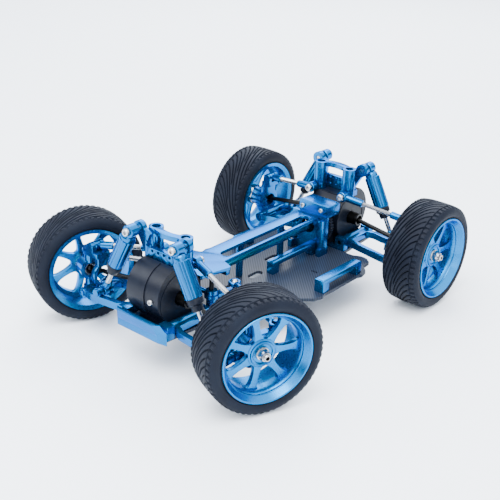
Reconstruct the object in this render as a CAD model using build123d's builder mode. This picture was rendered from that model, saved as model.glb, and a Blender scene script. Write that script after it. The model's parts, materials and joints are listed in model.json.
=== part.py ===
"""Small shaft-driven drift car chassis. +X is forward, +Y is the car's left, +Z is up.
The origin is on the ground, midway between the axles. All sizes are in millimetres."""
from build123d import *
import os
from math import asin, atan, cos, degrees, hypot, pi, radians, sin

os.makedirs("parts", exist_ok=True)

# ------------------------------------------------------------------ driving dimensions
WHEELBASE = 162.0
TRACK = 142.0
TYRE_R = 33.65
TYRE_W = 26.0
LIP_R = 26.0
SPOKES = 7
STEER_REST = -23.0
KINGPIN_Y = 63.0
AXLE_R = 2.0
PIN_R = 1.5
PIN_HOLE_R = 1.56
LOOSE_HOLE_R = 1.95

# heights of the sprung chassis
PLATE_TOP = 23.0
PLATE_T = 2.0
DRIVE_Z = 40.5
DECK_TOP = 49.0
DECK_T = 2.0
POST_TOP = 75.5

# suspension pivots, as (y, z) on the left side
LOWER_IN = (15.5, 28.0)
LOWER_OUT = (56.0, 24.0)
UPPER_IN = (12.7, 58.6)
UPPER_OUT = (57.0, 50.6)
SHOCK_TOP = (17.5, 74.5)
SHOCK_LOW = (41.0, 30.0)
UPPER_IN_X = 69.2
SHOCK_X = 89.6
CUP_Y = 16.5

# steering
BELL_X = 59.5
BELL_Y = 15.5
TIE_ARM = (-15.0, -1.5)
DRAG_ARM = (-10.0, 0.0)
TIE_Z = 37.5

AXLE_X = WHEELBASE / 2
AXLE_Z = TYRE_R
CASE_R = 15.5
CASE_HALF = 12.0
TOWER_T = 3.2
TOWER_X = 81.0

ENDS = (("front", 1), ("rear", -1))
SIDES = (("left", 1), ("right", -1))


# ------------------------------------------------------------------ helpers
def rod(start, end, radius, mode=Mode.ADD):
    """A round bar between two points, for use inside a BuildPart."""
    along = Vector(*end) - Vector(*start)
    with Locations(Plane(origin=start, z_dir=along)):
        Cylinder(radius, along.length, align=(Align.CENTER, Align.CENTER, Align.MIN), mode=mode)


def block(low, high, mode=Mode.ADD):
    """A box given by two opposite corners, for use inside a BuildPart."""
    size = [abs(high[i] - low[i]) for i in range(3)]
    middle = Vector(*[(high[i] + low[i]) / 2 for i in range(3)])
    with Locations(middle):
        Box(*size, mode=mode)


def hex_bar(start, end, across_flats, mode=Mode.ADD):
    """A hexagonal bar between two points, for use inside a BuildPart."""
    along = Vector(*end) - Vector(*start)
    with BuildSketch(Plane(origin=start, z_dir=along)) as section:
        RegularPolygon(across_flats / 2, 6, major_radius=False)
    extrude(section.sketch, amount=along.length, mode=mode)


def save(builder, name):
    builder.part.label = name
    export_step(builder.part, f"parts/{name}.step")


def hub_plane(end, side):
    """Plane at the wheel's centre: its z axis points outboard along the axle."""
    steer = STEER_REST if end > 0 else 0.0
    outboard = Vector(0, side, 0).rotate(Axis.Z, steer)
    forward = Vector(1, 0, 0).rotate(Axis.Z, steer)
    kingpin = Vector(end * AXLE_X, side * KINGPIN_Y, AXLE_Z)
    return Plane(origin=kingpin + outboard * (TRACK / 2 - KINGPIN_Y), x_dir=forward, z_dir=outboard)


def wheel_section(hub):
    """Plane through the axle for turned profiles: x is the radius and y is outboard."""
    return Plane(origin=hub.origin, x_dir=hub.x_dir, z_dir=-hub.y_dir)


def on_hub(hub, offset):
    """Point on the axle at an outboard offset from the wheel's centre."""
    return hub.origin + hub.z_dir * offset


# ------------------------------------------------------------------ chassis plate
with BuildPart() as chassis_plate:
    with BuildSketch(Plane.XY.offset(PLATE_TOP - PLATE_T)) as outline:
        with BuildLine():
            Polyline(
                (99, 0), (99, 17), (62, 20), (40, 23), (18, 34), (8, 40), (2, 46), (-4, 47.8),
                (-8, 46.6), (-41, 46.6), (-45, 48), (-51, 46.5), (-56, 41.5), (-63, 41), (-66.5, 37),
                (-67, 32), (-64.5, 27), (-64.5, 20), (-99, 17), (-99, 0),
            )
            mirror(about=Plane.XZ)
        make_face()
        fillet(outline.vertices(), radius=1.2)
        with Locations((-27, 24), (-27, -24)):
            SlotOverall(5, 1.6, rotation=90, mode=Mode.SUBTRACT)
        with Locations((26, 0), (2, 0), (-24, -8)):
            SlotOverall(12, 5, mode=Mode.SUBTRACT)
    extrude(amount=PLATE_T)
save(chassis_plate, "chassis_plate")

# ------------------------------------------------------------------ upper deck
DECK_FRONT_X = 66.0
DECK_WAIST_X = 45.0
DECK_REAR_X = -50.0
DECK_HALF = 17.2
SLOT_RAIL = 1.8
with BuildPart() as upper_deck:
    with BuildSketch(Plane.XY.offset(DECK_TOP - DECK_T)) as outline:
        with BuildLine():
            Polyline(
                (DECK_FRONT_X, -DECK_HALF + 4), (DECK_FRONT_X, DECK_HALF - 4),
                (DECK_WAIST_X, DECK_HALF), (DECK_WAIST_X - 3, 9), (DECK_REAR_X, 9),
                (DECK_REAR_X, -9), (DECK_WAIST_X - 3, -9), (DECK_WAIST_X, -DECK_HALF), close=True,
            )
        make_face()
        fillet(outline.vertices(), radius=1.5)
        with Locations((-4, 3.3)):
            SlotOverall(82, 7.6, mode=Mode.SUBTRACT)
    extrude(amount=DECK_T)
    block((DECK_WAIST_X, -DECK_HALF + 1, DECK_TOP - 5), (DECK_WAIST_X + 3, DECK_HALF - 1, DECK_TOP - DECK_T))
save(upper_deck, "upper_deck")

# ------------------------------------------------------------------ gear cases and covers
CAVITY_R = 13.9
CAVITY_HALF = 10.3
NOSE_X = 60.0
NOSE_HALF = 7.5
NOSE_TOP = DECK_TOP - DECK_T - 0.2
COVER_TOP = 57.0
CUP_HOLE_R = 4.4
NOSE_BORE_R = 5.2
CROWN_R = 16.2
CROWN_X = 1.5
CROWN_Z = 43.6
TOWER_FRONT_X = TOWER_X + TOWER_T + 0.3


def gear_housing(end):
    """Whole housing of one axle, inside a BuildPart: drum around the crown gear and a nose."""
    axle = end * AXLE_X
    with BuildSketch(Plane.XZ) as side_view:
        with Locations((axle, DRIVE_Z)):
            Circle(CASE_R)
        with Locations((axle + end * CROWN_X, CROWN_Z)):
            Circle(CROWN_R)
        with Locations((end * 78.6, (DRIVE_Z + COVER_TOP) / 2)):
            Rectangle(12.0, COVER_TOP - DRIVE_Z)
    extrude(side_view.sketch, amount=CASE_HALF, both=True)
    # the tower stands on the flat part of the cover, and the drum rises in front of it
    block((end * 60, -CASE_HALF, COVER_TOP), (end * TOWER_FRONT_X, CASE_HALF, COVER_TOP + 5),
          mode=Mode.SUBTRACT)
    block((end * NOSE_X, -NOSE_HALF, PLATE_TOP + 2.2), (axle, NOSE_HALF, NOSE_TOP))
    block((axle - 9, -CASE_HALF + 1.5, PLATE_TOP), (axle + 9, CASE_HALF - 1.5, DRIVE_Z - 8))
    rod((axle, -CAVITY_HALF, DRIVE_Z), (axle, CAVITY_HALF, DRIVE_Z), CAVITY_R, mode=Mode.SUBTRACT)
    rod((axle, -20, DRIVE_Z), (axle, 20, DRIVE_Z), CUP_HOLE_R, mode=Mode.SUBTRACT)
    rod((end * (NOSE_X - 2), 0, DRIVE_Z), (axle, 0, DRIVE_Z), NOSE_BORE_R, mode=Mode.SUBTRACT)


with BuildPart() as gear_cases:
    for _, end in ENDS:
        gear_housing(end)
    split(bisect_by=Plane.XY.offset(DRIVE_Z), keep=Keep.BOTTOM)
save(gear_cases, "gear_cases")

with BuildPart() as gear_covers:
    for _, end in ENDS:
        gear_housing(end)
    split(bisect_by=Plane.XY.offset(DRIVE_Z), keep=Keep.TOP)
save(gear_covers, "gear_covers")

# ------------------------------------------------------------------ arm mounts and bumper
MOUNT_HALF_Y = 19.5
MOUNT_TOP = LOWER_IN[1] + 3.4
PIN_FRONT_X = 97.5
PIN_INNER_X = 65.5

with BuildPart() as arm_mounts:
    for x_low, x_high in ((64.5, 68.8), (-68.8, -64.5), (-98.5, -93.2)):
        block((x_low, -MOUNT_HALF_Y, PLATE_TOP), (x_high, MOUNT_HALF_Y, PLATE_TOP + 2.0))
        for side in (1, -1):
            block((x_low, side * 12.3, PLATE_TOP), (x_high, side * MOUNT_HALF_Y, MOUNT_TOP))
            rod((x_low, side * LOWER_IN[0], LOWER_IN[1]), (x_high, side * LOWER_IN[0], LOWER_IN[1]),
                PIN_R, mode=Mode.SUBTRACT)
save(arm_mounts, "arm_mounts")

BUMPER_REAR_X = 93.2
LIP_FOOT_X = 102.6
LIP_TOP = (104.9, 33.0)
with BuildPart() as bumper:
    with BuildSketch(Plane.XZ) as side_view:
        with BuildLine():
            Polyline(
                (BUMPER_REAR_X, PLATE_TOP), (LIP_FOOT_X, PLATE_TOP + 3.2), LIP_TOP,
                (LIP_TOP[0] - 3.0, LIP_TOP[1] + 0.4), (LIP_FOOT_X - 2.7, PLATE_TOP + 5.8),
                (97.0, PLATE_TOP + 4.6), (BUMPER_REAR_X, PLATE_TOP + 2.2), close=True,
            )
        make_face()
    extrude(amount=MOUNT_HALF_Y, both=True)
    # the lip's corners are cut back towards the arms
    with BuildSketch(Plane.XY.offset(PLATE_TOP - 1)) as corners:
        with BuildLine():
            Polyline((98.6, MOUNT_HALF_Y + 1), (106, 12.0), (106, MOUNT_HALF_Y + 1), close=True)
        make_face()
        mirror(about=Plane.XZ)
    extrude(corners.sketch, amount=14, mode=Mode.SUBTRACT)
    for side in (1, -1):
        block((BUMPER_REAR_X, side * 12.3, PLATE_TOP), (98.5, side * MOUNT_HALF_Y, MOUNT_TOP))
        rod((93, side * LOWER_IN[0], LOWER_IN[1]), (98.2, side * LOWER_IN[0], LOWER_IN[1]),
            PIN_R, mode=Mode.SUBTRACT)
save(bumper, "bumper")

# ------------------------------------------------------------------ shock towers
POST_X = 76.5
POST_Y = 11.2
POST_OUT_R = 4.3
POST_HOLE_R = 2.6
WEB_HOLE_R = 0.9


def shock_tower(end):
    """Upright plate, two hollow body posts and the curved bar that joins them."""
    plate_x = TOWER_X if end > 0 else -TOWER_X - TOWER_T
    with BuildSketch(Plane.YZ.offset(plate_x)) as plate:
        with Locations((0, COVER_TOP + 2.5)):
            Rectangle(24, 5)
        with Locations((0, COVER_TOP + 5.3)):
            Trapezoid(20, 6.6, 78)
        with BuildLine() as struts:
            for side in (1, -1):
                Line((side * 9.0, COVER_TOP + 3), (side * (SHOCK_TOP[0] - 0.5), SHOCK_TOP[1] - 0.5))
                Line((side * 9.5, COVER_TOP + 14), (side * SHOCK_TOP[0], SHOCK_TOP[1]))
        trace(struts.line, line_width=4.6)
        with Locations((-SHOCK_TOP[0], SHOCK_TOP[1]), (SHOCK_TOP[0], SHOCK_TOP[1])):
            Circle(4.2)
        with Locations((0, COVER_TOP + 5)):
            with GridLocations(4.4, 4.2, 4, 2):
                Circle(WEB_HOLE_R, mode=Mode.SUBTRACT)
        with Locations((-10.6, COVER_TOP + 9.4), (10.6, COVER_TOP + 9.4)):
            Circle(WEB_HOLE_R, mode=Mode.SUBTRACT)
        with Locations((-SHOCK_TOP[0], SHOCK_TOP[1]), (SHOCK_TOP[0], SHOCK_TOP[1])):
            Circle(PIN_R, mode=Mode.SUBTRACT)
    extrude(plate.sketch, amount=TOWER_T)
    for side in (1, -1):
        rod((end * POST_X, side * POST_Y, COVER_TOP), (end * POST_X, side * POST_Y, POST_TOP), POST_OUT_R)
        block((end * POST_X, side * (POST_Y - 2), POST_TOP - 12),
              (end * (TOWER_X + 1), side * (POST_Y + 2), POST_TOP - 2))
        block((end * (POST_X - 4), side * (POST_Y - 3), COVER_TOP),
              (end * (TOWER_X + 1), side * (POST_Y + 3.6), COVER_TOP + 3.6))
    with BuildSketch(Plane.XY.offset(POST_TOP - 3)) as top_bar:
        with BuildLine() as bow:
            ThreePointArc((end * POST_X, -POST_Y), (end * (POST_X + 3.4), 0), (end * POST_X, POST_Y))
        trace(bow.line, line_width=4.4)
    extrude(top_bar.sketch, amount=3)
    for side in (1, -1):
        rod((end * POST_X, side * POST_Y, COVER_TOP - 1), (end * POST_X, side * POST_Y, POST_TOP + 1),
            POST_HOLE_R, mode=Mode.SUBTRACT)
        for angle in (45, 135, 225, 315):
            dx = (POST_OUT_R + 0.5) * cos(radians(angle))
            dy = (POST_OUT_R + 0.5) * sin(radians(angle))
            rod((end * POST_X + dx, side * POST_Y + dy, COVER_TOP + 4),
                (end * POST_X + dx, side * POST_Y + dy, POST_TOP - 5), 1.0, mode=Mode.SUBTRACT)
        rod((end * (UPPER_IN_X + 1), side * UPPER_IN[0], UPPER_IN[1]),
            (end * (POST_X - 2), side * UPPER_IN[0], UPPER_IN[1]), PIN_R, mode=Mode.SUBTRACT)


with BuildPart() as front_shock_tower:
    shock_tower(1)
save(front_shock_tower, "front_shock_tower")

with BuildPart() as rear_shock_tower:
    mirror(front_shock_tower.part, about=Plane.YZ)
save(rear_shock_tower, "rear_shock_tower")

# ------------------------------------------------------------------ motor mount
MOTOR_PLATE_X = -54.0
MOTOR_PLATE_T = 4.0
MOTOR_PLATE_Y = (-12.6, 13.4)
MOTOR_SLOT_Y = -9.2
SHAFT_HOLE_R = 5.0
GUARD_Y = (-8.5, 14.2)
GUARD_X = (-64.0, -51.5)
GUARD_WALL = 2.4
COLUMN_R = 2.4
FOOT = (8.0, 3.0, 5.0)
with BuildPart() as motor_mount:
    with BuildSketch(Plane.YZ.offset(MOTOR_PLATE_X)) as plate:
        with Locations((sum(MOTOR_PLATE_Y) / 2, (PLATE_TOP + DECK_TOP) / 2)):
            Rectangle(MOTOR_PLATE_Y[1] - MOTOR_PLATE_Y[0], DECK_TOP - PLATE_TOP)
        with Locations((0, DRIVE_Z)):
            Circle(SHAFT_HOLE_R, mode=Mode.SUBTRACT)
        with Locations((MOTOR_SLOT_Y, DRIVE_Z + 2.5), (MOTOR_SLOT_Y, DRIVE_Z - 9.5)):
            SlotOverall(6, 3.2, rotation=90, mode=Mode.SUBTRACT)
    extrude(amount=MOTOR_PLATE_T)
    # guard over the spur gear, open below and at its right end
    block((GUARD_X[0], GUARD_Y[0], DECK_TOP), (GUARD_X[1], GUARD_Y[1], DECK_TOP + 7.5))
    chamfer(motor_mount.edges().group_by(Axis.Z)[-1], length=0.5)
    block((GUARD_X[0] + GUARD_WALL, GUARD_Y[0] - 1, DECK_TOP - 1),
          (GUARD_X[1] - GUARD_WALL, GUARD_Y[1] - 1.9, DECK_TOP + 6), mode=Mode.SUBTRACT)
    for foot_y in (MOTOR_PLATE_Y[0], MOTOR_PLATE_Y[1] - FOOT[1]):
        block((MOTOR_PLATE_X - 1, foot_y, PLATE_TOP), (MOTOR_PLATE_X + FOOT[0], foot_y + FOOT[1], PLATE_TOP + FOOT[2]))
    column_y = MOTOR_PLATE_Y[1] - COLUMN_R
    column_x = MOTOR_PLATE_X + MOTOR_PLATE_T - 0.1
    rod((column_x, column_y, PLATE_TOP + 4), (column_x, column_y, DECK_TOP - DECK_T), COLUMN_R)
save(motor_mount, "motor_mount")

# ------------------------------------------------------------------ battery rails
RAIL_TOP = 31.5
# middle, half width, rear end and front end of each rail
RAILS = ((5.8, 2.6, -49.8, -5.0), (42.9, 3.3, -46.0, -6.0), (-34.0, 2.6, -34.0, -18.0))
with BuildPart() as battery_rails:
    for y_middle, half, x_low, x_high in RAILS:
        block((x_low, y_middle - half, RAIL_TOP - 3.2), (x_high, y_middle + half, RAIL_TOP))
        block((x_high - 6, y_middle - half, PLATE_TOP), (x_high, y_middle + half, RAIL_TOP))
        block((x_low, y_middle - half, PLATE_TOP), (x_low + 5, y_middle + half, RAIL_TOP))
    chamfer(battery_rails.edges().group_by(Axis.Z)[-1], length=0.6)
save(battery_rails, "battery_rails")

# ------------------------------------------------------------------ screws, pins and posts
with BuildPart() as fasteners:
    for _, end in ENDS:
        for side in (1, -1):
            # inner hinge pins of the lower arms
            pin_y, pin_z = side * LOWER_IN[0], LOWER_IN[1]
            rod((end * (PIN_INNER_X - 0.5), pin_y, pin_z), (end * (PIN_FRONT_X + 0.5), pin_y, pin_z), PIN_R)
            # inner screws of the upper links
            link_y, link_z = side * UPPER_IN[0], UPPER_IN[1]
            head_x = UPPER_IN_X - 2.8
            rod((end * (POST_X - 2.4), link_y, link_z), (end * head_x, link_y, link_z), PIN_R)
            rod((end * head_x, link_y, link_z), (end * (head_x - 1.8), link_y, link_z), 2.7)
            # upper screws of the shocks
            low = (end * (TOWER_X + 0.2), side * SHOCK_TOP[0], SHOCK_TOP[1])
            high = (end * (SHOCK_X + 3.2), side * SHOCK_TOP[0], SHOCK_TOP[1])
            rod(low, high, PIN_R)
            rod(high, (high[0] + end * 1.8, high[1], high[2]), 2.8)
    for side in (1, -1):
        # posts that carry the bellcranks
        rod((BELL_X, side * BELL_Y, PLATE_TOP), (BELL_X, side * BELL_Y, TIE_Z - 3.4), 3.0)
        rod((BELL_X, side * BELL_Y, TIE_Z - 3.4), (BELL_X, side * BELL_Y, DECK_TOP - DECK_T), PIN_R)
    # posts between the plate and the deck
    for x, y in ((-30, -6.4), (10, -6.4)):
        rod((x, y, PLATE_TOP), (x, y, DECK_TOP - DECK_T), 2.2)
save(fasteners, "fasteners")

# ------------------------------------------------------------------ steering linkage
DRAG_Z = TIE_Z - 7.5


def steered(offset, side):
    """A bellcrank or knuckle offset, turned to the steering angle at rest."""
    return Vector(offset[0], side * offset[1], 0).rotate(Axis.Z, STEER_REST)


for name, side in SIDES:
    pivot = Vector(BELL_X, side * BELL_Y, 0)
    tie_point = pivot + steered(TIE_ARM, side)
    drag_point = pivot + steered(DRAG_ARM, side)
    with BuildPart() as bellcrank:
        with BuildSketch(Plane.XY.offset(TIE_Z - 3.0)) as arm:
            with Locations((pivot.X, pivot.Y)):
                Circle(4.2)
            with Locations((tie_point.X, tie_point.Y)):
                Circle(2.6)
            with BuildLine() as spine:
                Line((pivot.X, pivot.Y), (tie_point.X, tie_point.Y))
            trace(spine.line, line_width=4.6)
        extrude(amount=1.8)
        rod((pivot.X, pivot.Y, TIE_Z - 3.0), (pivot.X, pivot.Y, TIE_Z + 1.6), 3.4)
        rod((tie_point.X, tie_point.Y, TIE_Z - 2), (tie_point.X, tie_point.Y, TIE_Z - 0.1), 1.1)
        rod((drag_point.X, drag_point.Y, DRAG_Z - 2.6), (drag_point.X, drag_point.Y, TIE_Z - 2), PIN_R)
        rod((pivot.X, pivot.Y, TIE_Z - 4), (pivot.X, pivot.Y, TIE_Z + 2), PIN_HOLE_R, mode=Mode.SUBTRACT)
    save(bellcrank, f"bellcrank_{name}")

drag_ends = [Vector(BELL_X, side * BELL_Y, DRAG_Z) + steered(DRAG_ARM, side) for side in (1, -1)]
with BuildPart() as drag_link:
    rod(tuple(drag_ends[0]), tuple(drag_ends[1]), 1.6)
    for point in drag_ends:
        rod((point.X, point.Y, DRAG_Z - 2), (point.X, point.Y, DRAG_Z + 2), 3.2)
    for point in drag_ends:
        rod((point.X, point.Y, DRAG_Z - 3), (point.X, point.Y, DRAG_Z + 3), PIN_HOLE_R, mode=Mode.SUBTRACT)
save(drag_link, "drag_link")

BALL_R = 2.3
TIE_LIFT = 2.6
for name, side in SIDES:
    inner = Vector(BELL_X, side * BELL_Y, TIE_Z + TIE_LIFT - 0.4) + steered(TIE_ARM, side)
    outer = Vector(AXLE_X, side * KINGPIN_Y, TIE_Z + TIE_LIFT - 0.4) + steered(TIE_ARM, side)
    with BuildPart() as ball:
        with Locations(tuple(inner)):
            Sphere(BALL_R)
        rod((inner.X, inner.Y, TIE_Z + 0.2), (inner.X, inner.Y, inner.Z), 1.1)
    save(ball, f"tie_rod_ball_{name}")
    along = (outer - inner).normalized()
    with BuildPart() as tie_rod:
        rod(tuple(inner + along * 2), tuple(outer - along * 2), 1.4)
        rod(tuple(inner + along * 3), tuple(inner + along * 12), 2.3)
        rod(tuple(outer - along * 12), tuple(outer - along * 3), 2.3)
        for point in (inner, outer):
            rod((point.X, point.Y, point.Z - 1.3), (point.X, point.Y, point.Z + 1.3), 3.6)
        with Locations(tuple(inner)):
            Sphere(BALL_R + 0.08, mode=Mode.SUBTRACT)
        rod((outer.X, outer.Y, outer.Z - 3), (outer.X, outer.Y, outer.Z + 3), 2.2, mode=Mode.SUBTRACT)
    save(tie_rod, f"tie_rod_{name}")

# ------------------------------------------------------------------ drive line
RING_TEETH = 30
PINION_TEETH = 10
RING_PITCH_R = 12.0
GEAR_FACE = 3.4
BACKLASH = 0.34
RING_CONE = degrees(atan(RING_TEETH / PINION_TEETH))
PINION_CONE = 90 - RING_CONE
CONE_DISTANCE = RING_PITCH_R / sin(radians(RING_CONE))
MODULE = 2 * RING_PITCH_R / RING_TEETH


def bevel_gear(plane, teeth, cone_angle, back, bore_r, phase):
    """Straight bevel gear inside a BuildPart: its cone's apex is the plane's origin."""
    slope, rise = sin(radians(cone_angle)), cos(radians(cone_angle))
    inner = CONE_DISTANCE - GEAR_FACE
    root = 1.05 * MODULE

    def below_pitch(distance):
        """Radius and height a tooth's root depth below the pitch cone."""
        depth = root * distance / CONE_DISTANCE
        return distance * slope - depth * rise, distance * rise + depth * slope

    in_r, in_h = below_pitch(inner)
    out_r, out_h = below_pitch(CONE_DISTANCE)
    section = Plane(origin=plane.origin, x_dir=plane.x_dir, z_dir=-plane.y_dir)
    with BuildSketch(section) as blank:
        with BuildLine():
            Polyline((bore_r, in_h), (in_r, in_h), (out_r, out_h), (out_r, out_h + back),
                     (bore_r, out_h + back), close=True)
        make_face()
    revolve(blank.sketch, axis=Axis(plane.origin, plane.z_dir))
    for number in range(teeth):
        turn = 360 / teeth * number + phase
        radial = plane.x_dir.rotate(Axis((0, 0, 0), plane.z_dir), turn)
        ray = radial * slope + plane.z_dir * rise
        outward = radial * rise - plane.z_dir * slope
        ends = []
        for distance in (inner, CONE_DISTANCE):
            scale_here = distance / CONE_DISTANCE
            half_root = (pi * MODULE / 2 - BACKLASH) / 2 * scale_here + 0.28 * root * scale_here
            half_tip = (pi * MODULE / 2 - BACKLASH) / 2 * scale_here - 0.28 * MODULE * scale_here
            with BuildSketch(Plane(origin=plane.origin + ray * distance, x_dir=outward, z_dir=ray)) as cut:
                with BuildLine():
                    Polyline(
                        (-root * 1.15 * scale_here, -half_root), (0.85 * MODULE * scale_here, -half_tip),
                        (0.85 * MODULE * scale_here, half_tip), (-root * 1.15 * scale_here, half_root),
                        close=True,
                    )
                make_face()
            ends.append(cut.sketch)
        loft(ends)


for end_name, end in ENDS:
    apex = (end * AXLE_X, 0, DRIVE_Z)
    with BuildPart() as differential:
        ring_plane = Plane(origin=apex, x_dir=(-end, 0, 0), z_dir=(0, end, 0))
        bevel_gear(ring_plane, RING_TEETH, RING_CONE, 1.2, 2.0, 0)
        rod((apex[0], -10, DRIVE_Z), (apex[0], 10, DRIVE_Z), 2.4)
        rod((apex[0], end * 4.2, DRIVE_Z), (apex[0], end * 9.5, DRIVE_Z), 8.0)
        for side in (1, -1):
            rod((apex[0], side * 9, DRIVE_Z), (apex[0], side * (CUP_Y + 2.5), DRIVE_Z), 4.0)
            rod((apex[0], side * (CUP_Y - 2.9), DRIVE_Z), (apex[0], side * (CUP_Y + 3), DRIVE_Z),
                2.9, mode=Mode.SUBTRACT)
    save(differential, f"{end_name}_differential")

SHAFT_R = 3.0
with BuildPart() as prop_shaft:
    rod((-54.9, 0, DRIVE_Z), (55, 0, DRIVE_Z), SHAFT_R)
    for _, end in ENDS:
        rod((end * 54, 0, DRIVE_Z), (end * 68, 0, DRIVE_Z), 2.3)
        pinion_plane = Plane(origin=(end * AXLE_X, 0, DRIVE_Z), x_dir=(0, end, 0), z_dir=(-end, 0, 0))
        bevel_gear(pinion_plane, PINION_TEETH, PINION_CONE, 1.0, 0.0, 180 / PINION_TEETH)
        rod((end * 64.8, 0, DRIVE_Z), (end * 61.5, 0, DRIVE_Z), NOSE_BORE_R - 0.3)
save(prop_shaft, "prop_shaft")

SPUR_TEETH = 48
SPUR_R = 14.2
with BuildPart() as spur_gear:
    with BuildSketch(Plane.YZ.offset(-58.9)) as face:
        with Locations((0, DRIVE_Z)):
            Circle(SPUR_R - 0.9)
            with PolarLocations(SPUR_R - 0.9, SPUR_TEETH):
                Rectangle(1.8, 0.85)
            Circle(SHAFT_R - 0.7, mode=Mode.SUBTRACT)
            with PolarLocations(8.2, 6):
                Circle(2.2, mode=Mode.SUBTRACT)
    extrude(amount=3.2)
save(spur_gear, "spur_gear")

# ------------------------------------------------------------------ suspension corners
ARM_HALF_X = 11.8
FORK_IN_X = 7.0
FORK_OUT_X = 12.8
ARM_T = 4.4
HUB_BOSS_X = 6.6
SHOCK_DX = SHOCK_X - AXLE_X
SHOCK_R = 5.0
DOG_BALL_R = 2.2


def arm_plane(end, side):
    """Plane of a lower arm: origin at the inner pivot, y axis outboard along the arm."""
    along = Vector(0, side * (LOWER_OUT[0] - LOWER_IN[0]), LOWER_OUT[1] - LOWER_IN[1])
    forward = Vector(end, 0, 0)
    origin = (end * AXLE_X, side * LOWER_IN[0], LOWER_IN[1])
    return Plane(origin=origin, x_dir=forward, z_dir=forward.cross(along))


ARM_LENGTH = hypot(LOWER_OUT[0] - LOWER_IN[0], LOWER_OUT[1] - LOWER_IN[1])


def lower_arm(end, side):
    """Open frame with a barrel at the body, a fork at the hub and a shock pin."""
    plane = arm_plane(end, side)
    with BuildSketch(plane) as frame:
        with BuildLine():
            Polyline((-ARM_HALF_X, 0), (ARM_HALF_X, 0), (ARM_HALF_X, 4.8), (14.3, 9), (14.3, 32.0),
                     (FORK_OUT_X, 36.0), (FORK_OUT_X, ARM_LENGTH), (-FORK_OUT_X, ARM_LENGTH), close=True)
        make_face()
        with BuildLine():
            Polyline((-8.6, 4.6), (8.8, 4.6), (10.9, 9), (10.9, 29.0), (FORK_IN_X, 34.0), (FORK_IN_X, 46),
                     (-FORK_IN_X, 46), (-FORK_IN_X, 36.0), (-9.4, 33.0), close=True)
        make_face(mode=Mode.SUBTRACT)
    extrude(frame.sketch, amount=ARM_T / 2, both=True)

    def at(x, y, z=0.0):
        return plane.from_local_coords((x, y, z))

    rod(at(-ARM_HALF_X, 0), at(ARM_HALF_X, 0), 2.9)
    for direction in (1, -1):
        rod(at(direction * FORK_IN_X, ARM_LENGTH), at(direction * FORK_OUT_X, ARM_LENGTH), 3.0)
    # cross bar that carries the shock's lower screw and closes the frame
    with BuildSketch(plane) as bars:
        with BuildLine() as brace:
            Line((-9, 31.5), (4.9, 31.5))
            Line((4.9, 31.5), (4.9, 22.5))
        trace(brace.line, line_width=3.0)
    extrude(bars.sketch, amount=ARM_T / 2, both=True)
    rod(at(-13, 0), at(13, 0), PIN_HOLE_R, mode=Mode.SUBTRACT)
    rod(at(-14, ARM_LENGTH), at(14, ARM_LENGTH), PIN_HOLE_R, mode=Mode.SUBTRACT)
    local_low = plane.to_local_coords(Vector(end * SHOCK_X, side * SHOCK_LOW[0], SHOCK_LOW[1]))
    rod(at(3.4, local_low.Y, local_low.Z), at(14, local_low.Y, local_low.Z), PIN_R)
    for x_low, x_high in ((3.2, 6.0), (11.0, 14.3)):
        rod(at(x_low, local_low.Y, local_low.Z), at(x_high, local_low.Y, local_low.Z), 2.7)
    rod(at(14.3, local_low.Y, local_low.Z), at(15.6, local_low.Y, local_low.Z), 2.2)


def hub_carrier_common(end, side):
    """Lower hinge boss with its pin, and the ears for the upper link, inside a BuildPart."""
    axle = end * AXLE_X
    low_y, low_z = side * LOWER_OUT[0], LOWER_OUT[1]
    rod((axle - HUB_BOSS_X, low_y, low_z), (axle + HUB_BOSS_X, low_y, low_z), 3.1)
    rod((axle - 13.4, low_y, low_z), (axle + 13.4, low_y, low_z), PIN_R)
    up_y, up_z = side * UPPER_OUT[0], UPPER_OUT[1]
    for direction in (1, -1):
        rod((axle + direction * 2.4, up_y, up_z), (axle + direction * 5, up_y, up_z), 2.7)
        block((axle + direction * 2.4, up_y - 2.7, up_z - 4), (axle + direction * 5, up_y + 2.7, up_z))
    rod((axle - 5, up_y, up_z), (axle + 5, up_y, up_z), PIN_R)


C_WEB_Y = 50.4


def c_hub(side):
    """Front hub carrier: a C with a kingpin at its top and its bottom."""
    axle = AXLE_X
    with BuildSketch(Plane.XZ.offset(-side * C_WEB_Y)) as web:
        with Locations((axle, AXLE_Z)):
            Circle(7.5)
            Rectangle(8, 27.8)
            Circle(5.2, mode=Mode.SUBTRACT)
    extrude(web.sketch, amount=-side * 3.0)
    for low, high in ((AXLE_Z + 10.8, AXLE_Z + 13.9), (AXLE_Z - 13.9, AXLE_Z - 10.8)):
        block((axle - 5, side * C_WEB_Y, low), (axle + 5, side * KINGPIN_Y, high))
        rod((axle, side * KINGPIN_Y, low), (axle, side * KINGPIN_Y, high), 4.2)
    rod((axle, side * KINGPIN_Y, AXLE_Z + 7), (axle, side * KINGPIN_Y, AXLE_Z + 13.9), PIN_R)
    rod((axle, side * KINGPIN_Y, AXLE_Z - 13.9), (axle, side * KINGPIN_Y, AXLE_Z - 7), PIN_R)
    hub_carrier_common(1, side)


def rear_upright(side):
    """Rear hub carrier: it holds the stub axle directly."""
    axle = -AXLE_X
    hub = hub_plane(-1, side)
    with BuildSketch(Plane.XZ.offset(-side * 56.6)) as web:
        with Locations((axle, AXLE_Z)):
            Circle(7.6)
            Rectangle(10, 27.8)
    extrude(web.sketch, amount=-side * 4.4)
    rod(on_hub(hub, -14.4), on_hub(hub, -1.9), 6.4)
    block((axle - 5, side * 54.4, AXLE_Z + 10.8), (axle + 5, side * 61, AXLE_Z + 13.9))
    block((axle - 5, side * 54.4, AXLE_Z - 13.9), (axle + 5, side * 61, AXLE_Z - 10.8))
    hub_carrier_common(-1, side)
    rod(on_hub(hub, -20), on_hub(hub, -4.9), 4.2, mode=Mode.SUBTRACT)
    rod(on_hub(hub, -6), on_hub(hub, 0), AXLE_R + 0.06, mode=Mode.SUBTRACT)


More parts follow.
